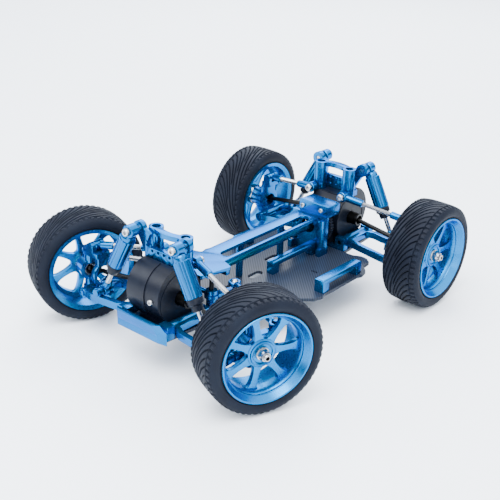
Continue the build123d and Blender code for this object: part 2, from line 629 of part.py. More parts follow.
def knuckle(side):
    """Front steering knuckle with its steering arm."""
    hub = hub_plane(1, side)
    kingpin = Vector(AXLE_X, side * KINGPIN_Y, AXLE_Z)
    tie_point = kingpin + steered(TIE_ARM, side)
    rod(on_hub(hub, -10.6), on_hub(hub, -1.9), 6.4)
    for direction in (1, -1):
        rod(tuple(kingpin + Vector(0, 0, direction * 4.6)), tuple(kingpin + Vector(0, 0, direction * 10.4)), 3.3)
    with BuildSketch(Plane.XY.offset(TIE_Z - 2.2)) as arm:
        with BuildLine() as spine:
            Line((kingpin.X, kingpin.Y), (tie_point.X, tie_point.Y))
        trace(spine.line, line_width=4)
        with Locations((tie_point.X, tie_point.Y)):
            Circle(2.5)
    extrude(arm.sketch, amount=2.2)
    rod((tie_point.X, tie_point.Y, TIE_Z - 1), (tie_point.X, tie_point.Y, TIE_Z + TIE_LIFT + 2), 1.0)
    rod(on_hub(hub, -20), on_hub(hub, -4.9), 4.2, mode=Mode.SUBTRACT)
    rod(on_hub(hub, -6), on_hub(hub, 0), AXLE_R + 0.06, mode=Mode.SUBTRACT)
    for direction in (1, -1):
        rod(tuple(kingpin + Vector(0, 0, direction * 6.6)), tuple(kingpin + Vector(0, 0, direction * 11)),
            PIN_HOLE_R, mode=Mode.SUBTRACT)


def stub_axle(hub):
    """Drive cup, shaft, drive hexagon and wheel nut."""
    rod(on_hub(hub, -9.9), on_hub(hub, -5.0), 3.9)
    rod(on_hub(hub, -5.1), on_hub(hub, 11.5), AXLE_R)
    hex_bar(on_hub(hub, -1.6), on_hub(hub, 1.5), 12.0)
    rod(on_hub(hub, 6.0), on_hub(hub, 6.9), 4.4)
    hex_bar(on_hub(hub, 6.9), on_hub(hub, 10.0), 7.0)
    rod(on_hub(hub, -10.6), on_hub(hub, -5.5), 3.15, mode=Mode.SUBTRACT)


def tyre(hub):
    """Radial tyre: rounded shoulders and a slightly crowned tread."""
    half = TYRE_W / 2
    with BuildSketch(wheel_section(hub)) as section:
        with BuildLine():
            lower = Line((24.8, half - 2.4), (24.8, -half + 2.4))
            Line(lower @ 1, (26.2, -half + 1.6))
            ThreePointArc((26.2, -half + 1.6), (29.0, -half), (TYRE_R - 1.9, -half + 1.0))
            ThreePointArc((TYRE_R - 1.9, -half + 1.0), (TYRE_R - 0.8, -half + 1.8), (TYRE_R - 0.35, -half + 3.2))
            ThreePointArc((TYRE_R - 0.35, -half + 3.2), (TYRE_R, 0), (TYRE_R - 0.35, half - 3.2))
            ThreePointArc((TYRE_R - 0.35, half - 3.2), (TYRE_R - 0.8, half - 1.8), (TYRE_R - 1.9, half - 1.0))
            ThreePointArc((TYRE_R - 1.9, half - 1.0), (29.0, half), (26.2, half - 1.6))
            Line((26.2, half - 1.6), (24.8, half - 2.4))
        make_face()
    revolve(section.sketch, axis=Axis(hub.origin, hub.z_dir))


def rim(hub):
    """Deep-lipped rim with open spokes around a raised hub."""
    with BuildSketch(wheel_section(hub)) as section:
        with BuildLine():
            Polyline(
                (24.8, -10.6), (24.8, 10.6), (LIP_R, 11.5), (LIP_R, 12.7), (24.6, 12.7), (23.4, 9.0),
                (22.4, 8.4), (22.2, 1.2), (23.2, -1.0), (23.2, -10.8), (24.8, -12.7), (LIP_R, -12.7),
                (LIP_R, -11.5), close=True,
            )
        make_face()
    revolve(section.sketch, axis=Axis(hub.origin, hub.z_dir))
    inner_r, outer_r, half_spoke = 9.2, 20.8, 1.8
    half_turn = 180 / SPOKES
    in_angle = radians(half_turn) - asin(half_spoke / inner_r)
    out_angle = radians(half_turn) - asin(half_spoke / outer_r)
    low_in = (inner_r * cos(in_angle), -inner_r * sin(in_angle))
    low_out = (outer_r * cos(out_angle), -outer_r * sin(out_angle))
    high_out = (low_out[0], -low_out[1])
    high_in = (low_in[0], -low_in[1])
    with BuildSketch(mode=Mode.PRIVATE) as window:
        with BuildLine():
            Line(low_in, low_out)
            ThreePointArc(low_out, (outer_r, 0), high_out)
            Line(high_out, high_in)
            ThreePointArc(high_in, (inner_r, 0), low_in)
        make_face()
        fillet(window.vertices(), radius=1.6)
    with BuildSketch(Plane(origin=on_hub(hub, 1.5), x_dir=hub.x_dir, z_dir=hub.z_dir)) as disc:
        Circle(23.0)
        with PolarLocations(0, SPOKES):
            add(window.sketch, mode=Mode.SUBTRACT)
    extrude(disc.sketch, amount=3.4)
    rod(on_hub(hub, 1.5), on_hub(hub, 6.0), 7.6)
    rod(on_hub(hub, 0), on_hub(hub, 8), AXLE_R, mode=Mode.SUBTRACT)


def upper_link(end, side):
    """Turnbuckle with a rod end at each end; both rod ends swing about X."""
    inner = Vector(end * UPPER_IN_X, side * UPPER_IN[0], UPPER_IN[1])
    outer = Vector(end * AXLE_X, side * UPPER_OUT[0], UPPER_OUT[1])
    along = (outer - inner).normalized()
    rod(tuple(inner + along * 2), tuple(outer - along * 2), 1.4)
    rod(tuple(inner + along * 2.2), tuple(inner + along * 14), 2.4)
    rod(tuple(outer - along * 13), tuple(outer - along * 4.2), 2.4)
    rod((inner.X - 2.3, inner.Y, inner.Z), (inner.X + 2.3, inner.Y, inner.Z), 3.4)
    rod((outer.X - 2.0, outer.Y, outer.Z), (outer.X + 2.0, outer.Y, outer.Z), 2.6)
    rod((inner.X - 4, inner.Y, inner.Z), (inner.X + 4, inner.Y, inner.Z), PIN_HOLE_R, mode=Mode.SUBTRACT)
    rod((outer.X - 4, outer.Y, outer.Z), (outer.X + 4, outer.Y, outer.Z), 1.75, mode=Mode.SUBTRACT)


def shock_points(end, side):
    top = Vector(end * SHOCK_X, side * SHOCK_TOP[0], SHOCK_TOP[1])
    low = Vector(end * SHOCK_X, side * SHOCK_LOW[0], SHOCK_LOW[1])
    return top, low, (low - top).normalized()


def shock_body(end, side):
    """Fluted cylinder with a top eye and a tapered lower cap, bored for the rod."""
    top, low, along = shock_points(end, side)
    rod((top.X - 2.8, top.Y, top.Z), (top.X + 2.8, top.Y, top.Z), 3.8)
    rod(tuple(top + along * 3.1), tuple(top + along * 6), 4.2)
    rod(tuple(top + along * 5), tuple(top + along * 27.5), SHOCK_R)
    rod(tuple(top + along * 27.5), tuple(top + along * 31), SHOCK_R - 0.4)
    rod(tuple(top + along * 31), tuple(top + along * 34.5), SHOCK_R - 1.6)
    rod((top.X - 6, top.Y, top.Z), (top.X + 6, top.Y, top.Z), PIN_HOLE_R, mode=Mode.SUBTRACT)
    rod(tuple(top + along * 12), tuple(top + along * 35), 1.56, mode=Mode.SUBTRACT)


def shock_rod(end, side):
    """Piston rod with its lower eye."""
    top, low, along = shock_points(end, side)
    rod(tuple(top + along * 20), tuple(low - along * 2.4), 1.5)
    rod(tuple(low - along * 6.5), tuple(low - along * 2.0), 2.1)
    rod((low.X - 1.8, low.Y, low.Z), (low.X + 1.8, low.Y, low.Z), 3.2)
    rod((low.X - 3, low.Y, low.Z), (low.X + 3, low.Y, low.Z), LOOSE_HOLE_R, mode=Mode.SUBTRACT)


def drive_shaft(end, side):
    """Dogbone: a bar with a ball at each end, each ball inside a drive cup."""
    inner = (end * AXLE_X, side * CUP_Y, DRIVE_Z)
    outer = (end * AXLE_X, side * KINGPIN_Y, AXLE_Z)
    rod(inner, outer, 1.5)
    for point in (inner, outer):
        with Locations(point):
            Sphere(DOG_BALL_R)


for end_name, end in ENDS:
    for side_name, side in SIDES:
        corner = f"{end_name}_{side_name}"
        hub = hub_plane(end, side)
        with BuildPart() as arm_part:
            lower_arm(end, side)
        save(arm_part, f"{corner}_lower_arm")
        with BuildPart() as carrier_part:
            if end > 0:
                c_hub(side)
            else:
                rear_upright(side)
        save(carrier_part, f"{corner}_c_hub" if end > 0 else f"{corner}_upright")
        if end > 0:
            with BuildPart() as knuckle_part:
                knuckle(side)
            save(knuckle_part, f"{corner}_knuckle")
        with BuildPart() as axle_part:
            stub_axle(hub)
        save(axle_part, f"{corner}_stub_axle")
        with BuildPart() as tyre_part:
            tyre(hub)
        save(tyre_part, f"{corner}_tyre")
        with BuildPart() as rim_part:
            rim(hub)
        save(rim_part, f"{corner}_rim")
        with BuildPart() as link_part:
            upper_link(end, side)
        save(link_part, f"{corner}_upper_link")
        with BuildPart() as body_part:
            shock_body(end, side)
        save(body_part, f"{corner}_shock_body")
        with BuildPart() as rod_part:
            shock_rod(end, side)
        save(rod_part, f"{corner}_shock_rod")
        with BuildPart() as shaft_part:
            drive_shaft(end, side)
        save(shaft_part, f"{corner}_drive_shaft")
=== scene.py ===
"""Looks of the drift car chassis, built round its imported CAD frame.

The car's parts are written in millimetres, and MM turns them into the frame's metres. The floor and
the lights are placed in metres."""
import json
import math

import bmesh
import bpy
import numpy as np
from mathutils import Matrix, Vector


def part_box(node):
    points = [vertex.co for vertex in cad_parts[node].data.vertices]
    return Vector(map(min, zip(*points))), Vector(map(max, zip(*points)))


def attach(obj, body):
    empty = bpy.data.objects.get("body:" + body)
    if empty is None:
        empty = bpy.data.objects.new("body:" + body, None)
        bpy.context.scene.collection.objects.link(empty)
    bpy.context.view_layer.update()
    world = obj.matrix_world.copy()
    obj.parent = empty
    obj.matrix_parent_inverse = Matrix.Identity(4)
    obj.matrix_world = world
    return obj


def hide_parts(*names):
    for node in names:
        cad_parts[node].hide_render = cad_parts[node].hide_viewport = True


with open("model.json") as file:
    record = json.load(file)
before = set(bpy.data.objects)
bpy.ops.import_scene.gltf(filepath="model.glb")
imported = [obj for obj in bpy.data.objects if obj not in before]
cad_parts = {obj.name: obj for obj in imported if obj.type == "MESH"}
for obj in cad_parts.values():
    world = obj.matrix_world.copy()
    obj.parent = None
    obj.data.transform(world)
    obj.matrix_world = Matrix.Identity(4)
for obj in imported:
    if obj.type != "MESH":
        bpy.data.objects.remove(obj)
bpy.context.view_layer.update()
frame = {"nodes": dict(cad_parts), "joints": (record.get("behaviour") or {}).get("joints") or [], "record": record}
MM = 0.001
ON_AXIS = 1e-6
ENDS = (("front", 1), ("rear", -1))
SIDES = (("left", 1), ("right", -1))
CORNERS = [(f"{end_name}_{side_name}", end, side) for end_name, end in ENDS for side_name, side in SIDES]
JOINTS = {joint["name"]: joint for joint in frame["joints"]}


# ---------------------------------------------------------------- materials
def new_material(name, colour, metallic, roughness):
    """A Principled material; returns it with its node tree, shader and object coordinates."""
    material = bpy.data.materials.new(name)
    material.use_nodes = True
    tree = material.node_tree
    shader = tree.nodes["Principled BSDF"]
    shader.inputs["Base Color"].default_value = (*colour, 1)
    shader.inputs["Metallic"].default_value = metallic
    shader.inputs["Roughness"].default_value = roughness
    coordinates = tree.nodes.new("ShaderNodeTexCoord")
    return material, tree, shader, coordinates.outputs["Object"]


def noise(tree, where, scale, detail=3.0):
    """Noise texture over a place; returns its grey value."""
    node = tree.nodes.new("ShaderNodeTexNoise")
    node.inputs["Scale"].default_value = scale
    node.inputs["Detail"].default_value = detail
    tree.links.new(where, node.inputs["Vector"])
    return node.outputs["Fac"]


def ramp(tree, value, stops):
    """Colour ramp; stops are (position, grey or colour)."""
    node = tree.nodes.new("ShaderNodeValToRGB")
    while len(node.color_ramp.elements) < len(stops):
        node.color_ramp.elements.new(0.5)
    for element, (position, tone) in zip(node.color_ramp.elements, stops):
        element.position = position
        element.color = (*tone, 1) if isinstance(tone, tuple) else (tone, tone, tone, 1)
    tree.links.new(value, node.inputs["Fac"])
    return node.outputs["Color"]


def bump(tree, shader, height, strength, distance):
    """Roughens the shader's normal by a height."""
    node = tree.nodes.new("ShaderNodeBump")
    node.inputs["Strength"].default_value = strength
    node.inputs["Distance"].default_value = distance
    tree.links.new(height, node.inputs["Height"])
    tree.links.new(node.outputs["Normal"], shader.inputs["Normal"])


# scales of the noise textures, in waves per metre
PATCH_SCALE = 26
MOTTLE_SCALE = 60
WEAR_SCALE = 240
SCUFF_SCALE = 700
SATIN_SCALE = 900
ANODISED_GRAIN, METAL_GRAIN, PLASTIC_GRAIN, RUBBER_GRAIN = 1800, 2200, 1500, 1800
EDGE_TINT = (0.03, 0.55, 1.0, 1)


def vary(tree, shader, socket, where, scale, stops):
    """Drives one socket of the shader by noise, through a ramp."""
    tree.links.new(ramp(tree, noise(tree, where, scale), stops), shader.inputs[socket])


def anodised(name, low, high, roughness):
    """Dyed aluminium: the dye varies a little, and the sealed face has a fine grain."""
    material, tree, shader, where = new_material(name, high, 0.9, roughness)
    vary(tree, shader, "Base Color", where, PATCH_SCALE, [(0.3, low), (0.7, high)])
    vary(tree, shader, "Roughness", where, SATIN_SCALE, [(0.3, roughness - 0.02), (0.7, roughness + 0.03)])
    shader.inputs["Specular Tint"].default_value = EDGE_TINT
    shader.inputs["Coat Weight"].default_value = 0.12
    shader.inputs["Coat Roughness"].default_value = 0.12
    bump(tree, shader, noise(tree, where, ANODISED_GRAIN, 2), 0.012, 0.02 * MM)
    return material


def steel(name, tone, roughness):
    """Bare or blackened steel with small differences in polish."""
    material, tree, shader, where = new_material(name, (tone, tone, tone * 1.01), 1.0, roughness)
    vary(tree, shader, "Roughness", where, SCUFF_SCALE, [(0.3, roughness - 0.06), (0.7, roughness + 0.08)])
    bump(tree, shader, noise(tree, where, METAL_GRAIN, 2), 0.06, 0.03 * MM)
    return material


def moulded(name, low, high, roughness, grain, specular):
    """Moulded plastic or rubber with a fine sparked grain."""
    material, tree, shader, where = new_material(name, high, 0.0, roughness)
    vary(tree, shader, "Base Color", where, MOTTLE_SCALE, [(0.35, low), (0.65, high)])
    vary(tree, shader, "Roughness", where, WEAR_SCALE, [(0.3, roughness - 0.05), (0.7, roughness + 0.05)])
    shader.inputs["Specular IOR Level"].default_value = specular
    bump(tree, shader, noise(tree, where, grain, 2), 0.10, 0.05 * MM)
    return material


THREAD_SCALE = 210
THREAD_DARK, THREAD_LIGHT = (0.003, 0.005, 0.009), (0.022, 0.030, 0.050)
RESIN = (0.06, 0.07, 0.09)
CROSS_THREADS = 0.22


def carbon(name):
    """Carbon laminate: fine diagonal threads, crossed by fainter ones, under clear resin."""
    material, tree, shader, where = new_material(name, RESIN, 0.1, 0.38)
    bands = []
    for turn in (45, -45):
        mapping = tree.nodes.new("ShaderNodeMapping")
        mapping.inputs["Rotation"].default_value = (0, 0, math.radians(turn))
        tree.links.new(where, mapping.inputs["Vector"])
        wave = tree.nodes.new("ShaderNodeTexWave")
        wave.inputs["Scale"].default_value = THREAD_SCALE
        wave.inputs["Distortion"].default_value = 0.3
        tree.links.new(mapping.outputs["Vector"], wave.inputs["Vector"])
        bands.append(wave.outputs["Fac"])
    weave = tree.nodes.new("ShaderNodeMath")
    weave.operation = "MULTIPLY_ADD"
    weave.inputs[1].default_value = CROSS_THREADS
    tree.links.new(bands[1], weave.inputs[0])
    tree.links.new(bands[0], weave.inputs[2])
    tones = ramp(tree, weave.outputs[0], [(0.1, THREAD_DARK), (1.0, THREAD_LIGHT)])
    tree.links.new(tones, shader.inputs["Base Color"])
    shader.inputs["Specular IOR Level"].default_value = 0.1
    shader.inputs["Coat Weight"].default_value = 0.03
    shader.inputs["Coat Roughness"].default_value = 0.25
    bump(tree, shader, weave.outputs[0], 0.08, 0.05 * MM)
    return material


BLUE = anodised("blue_anodised", (0.0, 0.085, 0.25), (0.0, 0.120, 0.32), 0.23)
WHEEL_BLUE = anodised("wheel_blue", (0.0, 0.120, 0.33), (0.0, 0.165, 0.41), 0.28)
TEAL = anodised("shaft_blue", (0.0, 0.10, 0.20), (0.0, 0.17, 0.26), 0.2)
SILVER = steel("silver_steel", 0.42, 0.26)
DARK_STEEL = steel("black_oxide", 0.02, 0.34)
PLASTIC = moulded("black_plastic", (0.003, 0.004, 0.008), (0.005, 0.007, 0.013), 0.36, PLASTIC_GRAIN, 0.12)
RUBBER = moulded("tyre_rubber", (0.0045, 0.006, 0.011), (0.0065, 0.009, 0.016), 0.60, RUBBER_GRAIN, 0.08)
CARBON = carbon("carbon_weave")


# ---------------------------------------------------------------- mesh helpers
def basis(origin, along, hint=(0, 0, 1)):
    """Frame whose z axis is along; its x axis is as near to hint as it can be."""
    z = Vector(along).normalized()
    x = Vector(hint) - z * Vector(hint).dot(z)
    if x.length < 1e-4:
        x = Vector((1, 0, 0)) - z * z.x
    x.normalize()
    matrix = Matrix((x, z.cross(x), z)).transposed().to_4x4()
    matrix.translation = Vector(origin)
    return matrix


def is_fold(edge, degrees):
    """Whether two faces meet at the edge by more than an angle."""
    return len(edge.link_faces) == 2 and edge.calc_face_angle() > math.radians(degrees)


def piece(name, mesh_data, place, material, body, smooth, bevel=0.0):
    """An object from (vertices, faces) in its own frame, placed in the car's frame.

    Edges that fold by more than smooth degrees stay sharp, or are bevelled."""
    vertices, faces = mesh_data
    mesh = bpy.data.meshes.new(name)
    mesh.from_pydata([tuple(place @ Vector(v)) for v in vertices], [], faces)
    tidy = bmesh.new()
    tidy.from_mesh(mesh)
    bmesh.ops.remove_doubles(tidy, verts=tidy.verts, dist=1e-7)
    bmesh.ops.recalc_face_normals(tidy, faces=tidy.faces)
    if bevel:
        edges = [e for e in tidy.edges if is_fold(e, smooth)]
        bmesh.ops.bevel(tidy, geom=edges, offset=bevel, segments=2, affect="EDGES", profile=0.7,
                        clamp_overlap=True)
    for face in tidy.faces:
        face.smooth = True
    for edge in tidy.edges:
        edge.smooth = len(edge.link_faces) == 2 and not is_fold(edge, smooth)
    tidy.to_mesh(mesh)
    tidy.free()
    mesh.materials.append(material)
    obj = bpy.data.objects.new(name, mesh)
    bpy.context.scene.collection.objects.link(obj)
    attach(obj, body)
    return obj


def lathe(profile, sides, shape=None):
    """Closed solid turned from (radius, height) points. shape(angle, radius, height) may alter the radius."""
    vertices, faces = [], []
    for step in range(sides):
        angle = 2 * math.pi * step / sides
        for radius, height in profile:
            r = shape(angle, radius, height) if shape else radius
            vertices.append((r * math.cos(angle), r * math.sin(angle), height))
    count = len(profile)
    for step in range(sides):
        here, there = step * count, (step + 1) % sides * count
        for k in range(count):
            nxt = (k + 1) % count
            faces.append((here + k, here + nxt, there + nxt, there + k))
    return vertices, faces


def turned(profile, sides, shape=None):
    """Lathe whose (radius, height) points are in millimetres."""
    return lathe([(r * MM, h * MM) for r, h in profile], sides, shape)


def prism(outline, low, high):
    """Prism on a closed outline of (x, y) points, between two heights, all in millimetres."""
    count = len(outline)
    vertices = [(x * MM, y * MM, z * MM) for z in (low, high) for x, y in outline]
    faces = [tuple(reversed(range(count))), tuple(range(count, 2 * count))]
    faces += [(k, (k + 1) % count, count + (k + 1) % count, count + k) for k in range(count)]
    return vertices, faces


def merged(*parts):
    """Several (vertices, faces) as one."""
    vertices, faces = [], []
    for part_vertices, part_faces in parts:
        start = len(vertices)
        vertices += part_vertices
        faces += [tuple(start + i for i in face) for face in part_faces]
    return vertices, faces


def moved(mesh_data, matrix):
    """(vertices, faces) taken through a matrix."""
    return [tuple(matrix @ Vector(v)) for v in mesh_data[0]], mesh_data[1]


def hexagonal(smallest=0.0, largest=math.inf):
    """Radius shape for lathe: radii from smallest to largest become corner radii of a hexagon."""
    sixth = math.pi / 3

    def shape(angle, radius, height):
        if not smallest <= radius <= largest:
            return radius
        return radius * math.cos(sixth / 2) / math.cos(angle % sixth - sixth / 2)

    return shape


def socket_screw(radius, height, socket_r):
    """Button-head screw with a hexagon socket, standing on z = 0."""
    profile = [(ON_AXIS, 0), (radius, 0), (radius, height * 0.45), (radius * 0.93, height * 0.8),
               (radius * 0.78, height), (socket_r * 1.12, height), (socket_r, height * 0.97),
               (socket_r, height * 0.35), (ON_AXIS, height * 0.3)]
    return lathe(profile, 48, hexagonal(largest=socket_r * 1.05))


# ---------------------------------------------------------------- wheels
def wheel_frame(corner, side):
    """Frame at the wheel's centre: z is outboard along the axle, and x is forward."""
    low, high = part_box(f"{corner}_tyre")
    outboard = Vector(JOINTS[f"{corner}_wheel_spin"]["axis"]) * side
    return basis((low + high) / 2, outboard, (1, 0, 0))


TYRE_R = 33.65
TREAD_HALF = 10.9
TREAD_R = 33.62
TREAD_POINTS = 97
CROWN_DROP, CROWN_HALF, CROWN_POWER = 0.95, 12.0, 3.2


def tyre_section():
    """Section of the tyre as (radius, height) from bead to bead, and the tread's place in it."""
    points = [(24.9, -10.4), (24.9, -11.6), (26.3, -11.7), (26.55, -11.4), (26.8, -12.0), (28.2, -12.6),
              (29.6, -12.7), (30.8, -12.35), (31.7, -11.8), (32.3, -11.3)]
    tread = [(TREAD_R - CROWN_DROP * abs(y / CROWN_HALF) ** CROWN_POWER, y)
             for y in np.linspace(-TREAD_HALF, TREAD_HALF, TREAD_POINTS)]
    back = [(r, -y) for r, y in reversed(points)]
    return np.array(points + tread + back) * MM, len(points), len(tread)


PITCHES = 22
NOTCHES = 56
SWEEP, SWEEP_POWER = 5.2, 2.2
GROOVE_HALF, SHORT_GROOVE_HALF = 0.52, 0.42
GROOVE_DEPTH = 1.1


def groove_depth(turn, across):
    """Depth of the tread at a turn (numpy, in radians) and a place across it, from -1 to 1.

    The long grooves run almost round the tyre on one side and curve over to the other shoulder."""
    u = (across + 1) / 2
    steep = SWEEP * SWEEP_POWER * np.clip(1 - u, 0, 1) ** (SWEEP_POWER - 1)
    around = PITCHES / (2 * math.pi * TYRE_R)
    per_mm = np.sqrt(around ** 2 + (steep / (2 * TREAD_HALF)) ** 2)
    phase = PITCHES * turn / (2 * math.pi) - SWEEP * (1 - np.clip(1 - u, 0, 1) ** SWEEP_POWER)

    def cut(distance, half_width):
        return np.clip((half_width - distance) / (half_width * 0.4), 0, 1)

    def to_groove(value):
        return np.abs((value + 0.5) % 1.0 - 0.5)

    long_cut = cut(to_groove(phase), GROOVE_HALF * per_mm) * ((u > 0.07) & (u < 0.86))
    short_cut = cut(to_groove(phase + 0.5), SHORT_GROOVE_HALF * per_mm) * ((u > 0.36) & (u < 0.83))
    slots = to_groove(NOTCHES * turn / (2 * math.pi))
    notch = cut(slots, 0.24) * ((u > 0.895) | (u < 0.045))
    rib = cut(np.abs(u - 0.875), 0.013) + cut(np.abs(u - 0.055), 0.009)
    depth = np.maximum(np.maximum(long_cut, short_cut), np.maximum(notch * 0.8, rib * 0.7))
    return depth * GROOVE_DEPTH * MM


def tyre_mesh(sides=720):
    """The tyre's section turned round the axle, with the tread cut into it."""
    section, start, tread = tyre_section()
    angles = np.linspace(0, 2 * np.pi, sides, endpoint=False)
    radius = np.repeat(section[None, :, 0], sides, axis=0)
    across = section[start:start + tread, 1] / (TREAD_HALF * MM)
    radius[:, start:start + tread] -= groove_depth(angles[:, None], across[None, :])
    x = radius * np.cos(angles)[:, None]
    y = radius * np.sin(angles)[:, None]
    z = np.repeat(section[None, :, 1], sides, axis=0)
    vertices = np.stack([x, y, z], axis=-1).reshape(-1, 3)
    count = len(section)
    ring = np.arange(sides)[:, None] * count
    nxt = (np.arange(sides)[:, None] + 1) % sides * count
    k = np.arange(count)[None, :]
    k2 = (k + 1) % count
    faces = np.stack([ring + k, ring + k2, nxt + k2, nxt + k], axis=-1).reshape(-1, 4)
    return [tuple(v) for v in vertices], [tuple(int(i) for i in f) for f in faces]


def rim_barrel():
    """Turned barrel: broad outer lip, a step, the dish wall and the inner flange."""
    profile = [(24.85, -12.3), (25.9, -12.7), (26.0, -12.0), (24.9, -11.3), (24.85, 11.2), (26.0, 11.6),
               (26.0, 12.3), (25.8, 12.6), (25.4, 12.7), (24.9, 12.55), (22.7, 9.2), (22.5, 9.1), (22.3, 8.8),
               (22.2, 8.1), (21.9, 7.8), (21.3, 6.2), (21.1, 5.0), (21.1, 1.4), (23.2, -1.0), (23.3, -11.5)]
    return turned(profile, 160)


SPOKES = 7
SPOKE_BACK, SPOKE_FACE = 1.6, 4.9
SPOKE_EDGE = 0.45


def spokes():
    """Spokes from hub to barrel, waisted in the middle, with flared ends."""
    half = [(7.0, 3.4), (8.2, 2.7), (9.6, 2.2), (12.0, 1.8), (15.0, 1.7), (18.0, 1.9), (20.0, 2.6),
            (21.4, 4.0)]
    outline = half + [(x, -y) for x, y in reversed(half)]
    made = []
    for number in range(SPOKES):
        turn = Matrix.Rotation(2 * math.pi * (number + 0.5) / SPOKES, 4, "Z")
        made.append(moved(prism(outline, SPOKE_BACK, SPOKE_FACE), turn))
    return merged(*made)


def hub():
    """Raised hub ring with a recess for the wheel nut."""
    profile = [(2.1, 1.5), (8.4, 1.5), (8.7, 2.2), (8.6, 4.4), (8.1, 5.2), (7.2, 5.5), (6.9, 6.2), (6.3, 6.4),
               (5.7, 6.1), (5.4, 5.4), (4.9, 5.2), (2.1, 5.2)]
    return turned(profile, 96)


def wheel_nut():
    """Flanged hexagon nut with a round nylon collar."""
    flange = [(2.05, 5.4), (3.7, 5.4), (3.75, 5.7), (3.6, 6.0), (2.05, 6.2)]
    hexagon = [(2.05, 6.1), (3.4, 6.1), (3.4, 8.6), (2.7, 9.2), (2.5, 9.9), (2.05, 9.9)]
    return merged(turned(flange, 64), turned(hexagon, 72, hexagonal(smallest=2.75 * MM)))


def axle():
    """Stub axle: drive cup inboard, shaft, drive hexagon and an outer end with a socket."""
    cup_and_shaft = [(ON_AXIS, -5.5), (3.15, -5.5), (3.2, -9.9), (3.7, -9.9), (3.9, -9.7), (3.9, -5.3),
                     (3.6, -5.0), (1.97, -5.0), (1.97, 10.9), (1.6, 11.4), (1.25, 11.4), (1.2, 9.6),
                     (ON_AXIS, 9.5)]
    drive = [(ON_AXIS, -1.6), (6.6, -1.6), (6.9, -1.3), (6.9, 1.45), (ON_AXIS, 1.45)]
    return merged(turned(cup_and_shaft, 40), turned(drive, 72, hexagonal()))


def axle_socket_shade():
    """Dark steel lining of the socket in the end of the axle: painted shade for the hollow of the socket."""
    profile = [(ON_AXIS, 9.55), (1.22, 9.55), (1.22, 11.42), (0.95, 11.42), (0.9, 10.1), (ON_AXIS, 10.0)]
    return turned(profile, 32)


TYRE_MESH = tyre_mesh()
for corner, _, side in CORNERS:
    place = wheel_frame(corner, side)
    body = f"{corner}_wheel"
    # the tread is directional, so it is mirrored on the left wheels
    flip = place @ Matrix.Scale(-side, 4, (0, 1, 0))
    tyre = piece(f"{corner}_tread", TYRE_MESH, flip, RUBBER, body, 40)
    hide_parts(f"{corner}_tyre")
    barrel = piece(f"{corner}_barrel", rim_barrel(), place, WHEEL_BLUE, body, 28)
    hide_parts(f"{corner}_rim")
    piece(f"{corner}_spokes", spokes(), place, WHEEL_BLUE, body, 40, SPOKE_EDGE * MM)
    piece(f"{corner}_hub_ring", hub(), place, WHEEL_BLUE, body, 30)
    piece(f"{corner}_wheel_nut", wheel_nut(), place, SILVER, body, 30)
    stub = piece(f"{corner}_axle", axle(), place, SILVER, body, 30)
    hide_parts(f"{corner}_stub_axle")
    # the dark lining inside the axle's end socket is painted shade in the hole
    piece(f"{corner}_axle_socket_shade", axle_socket_shade(), place, DARK_STEEL, body, 30)


# ---------------------------------------------------------------- shocks
SHOCK_LOW_EYE_R = 3.2
FLUTES, FLUTE_DEPTH, FLUTE_POWER = 7, 0.65, 2.2
FLUTED_FROM, FLUTED_TO, FLUTED_MIN_R = 6.0, 26.8, 3.0
CYLINDER = [(1.56, 6.2), (4.55, 6.2), (4.95, 6.6), (4.95, 26.9), (4.6, 27.3), (1.56, 27.3)]
SHOULDER = [(1.56, 3.1), (3.2, 3.1), (3.9, 3.9), (4.1, 4.8), (4.1, 6.4), (1.56, 6.4)]
TOP_EYE = [(1.56, -2.8), (3.4, -2.8), (3.8, -2.4), (3.8, 2.4), (3.4, 2.8), (1.56, 2.8)]
LOW_EYE = [(1.95, -1.8), (2.9, -1.8), (3.2, -1.5), (3.2, 1.5), (2.9, 1.8), (1.95, 1.8)]
LOWER_CAP = [(1.56, 27.2), (4.6, 27.2), (4.75, 27.6), (4.6, 30.4), (3.5, 31.2), (3.35, 34.1), (3.1, 34.5),
             (1.56, 34.5)]


def shock_axis(corner):
    """Top eye, lower eye and direction of a shock, from its joints."""
    top = Vector(JOINTS[f"{corner}_shock_swing"]["pos_m"])
    along = Vector(JOINTS[f"{corner}_shock_slide"]["axis"])
    low_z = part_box(f"{corner}_shock_rod")[0].z + SHOCK_LOW_EYE_R * MM
    length = (top.z - low_z) / -along.z
    return top, top + along * length, along


def fluted(angle, radius, height):
    """Radius shape of a cylinder with flats and grooves along it."""
    if radius <= FLUTED_MIN_R * MM or not FLUTED_FROM * MM < height < FLUTED_TO * MM:
        return radius
    return radius - FLUTE_DEPTH * MM * (1 - abs(math.sin(FLUTES * angle / 2))) ** FLUTE_POWER


def shock(corner):
    """One shock: its cylinder, shoulder, top eye and cap, then its rod with the lower eye."""
    top, low, along = shock_axis(corner)
    place = basis(top, along, (1, 0, 0))
    body, rod_body = f"{corner}_shock_body", f"{corner}_shock_rod"
    length = (low - top).length / MM
    rod = [(ON_AXIS, 22), (1.48, 22), (1.48, length - 6.2), (ON_AXIS, length - 6.2)]
    rod_end = [(ON_AXIS, length - 6.6), (1.9, length - 6.6), (2.1, length - 6.2), (2.1, length - 2.4),
               (ON_AXIS, length - 2.4)]
    cylinder = turned(CYLINDER, 120, fluted)
    tube = piece(f"{corner}_shock_tube", cylinder, place, BLUE, body, 25)
    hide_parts(body)
    piece(f"{corner}_shock_shoulder", turned(SHOULDER, 64), place, BLUE, body, 30)
    piece(f"{corner}_shock_eye", turned(TOP_EYE, 64), basis(top, (1, 0, 0)), BLUE, body, 30)
    piece(f"{corner}_shock_cap", turned(LOWER_CAP, 64), place, PLASTIC, body, 30)
    piston = piece(f"{corner}_shock_piston", turned(rod, 40), place, SILVER, rod_body, 30)
    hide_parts(rod_body)
    piece(f"{corner}_shock_end", turned(rod_end, 40), place, BLUE, rod_body, 30)
    piece(f"{corner}_shock_low_eye", turned(LOW_EYE, 56), basis(low, (1, 0, 0)), BLUE, rod_body,
          30)


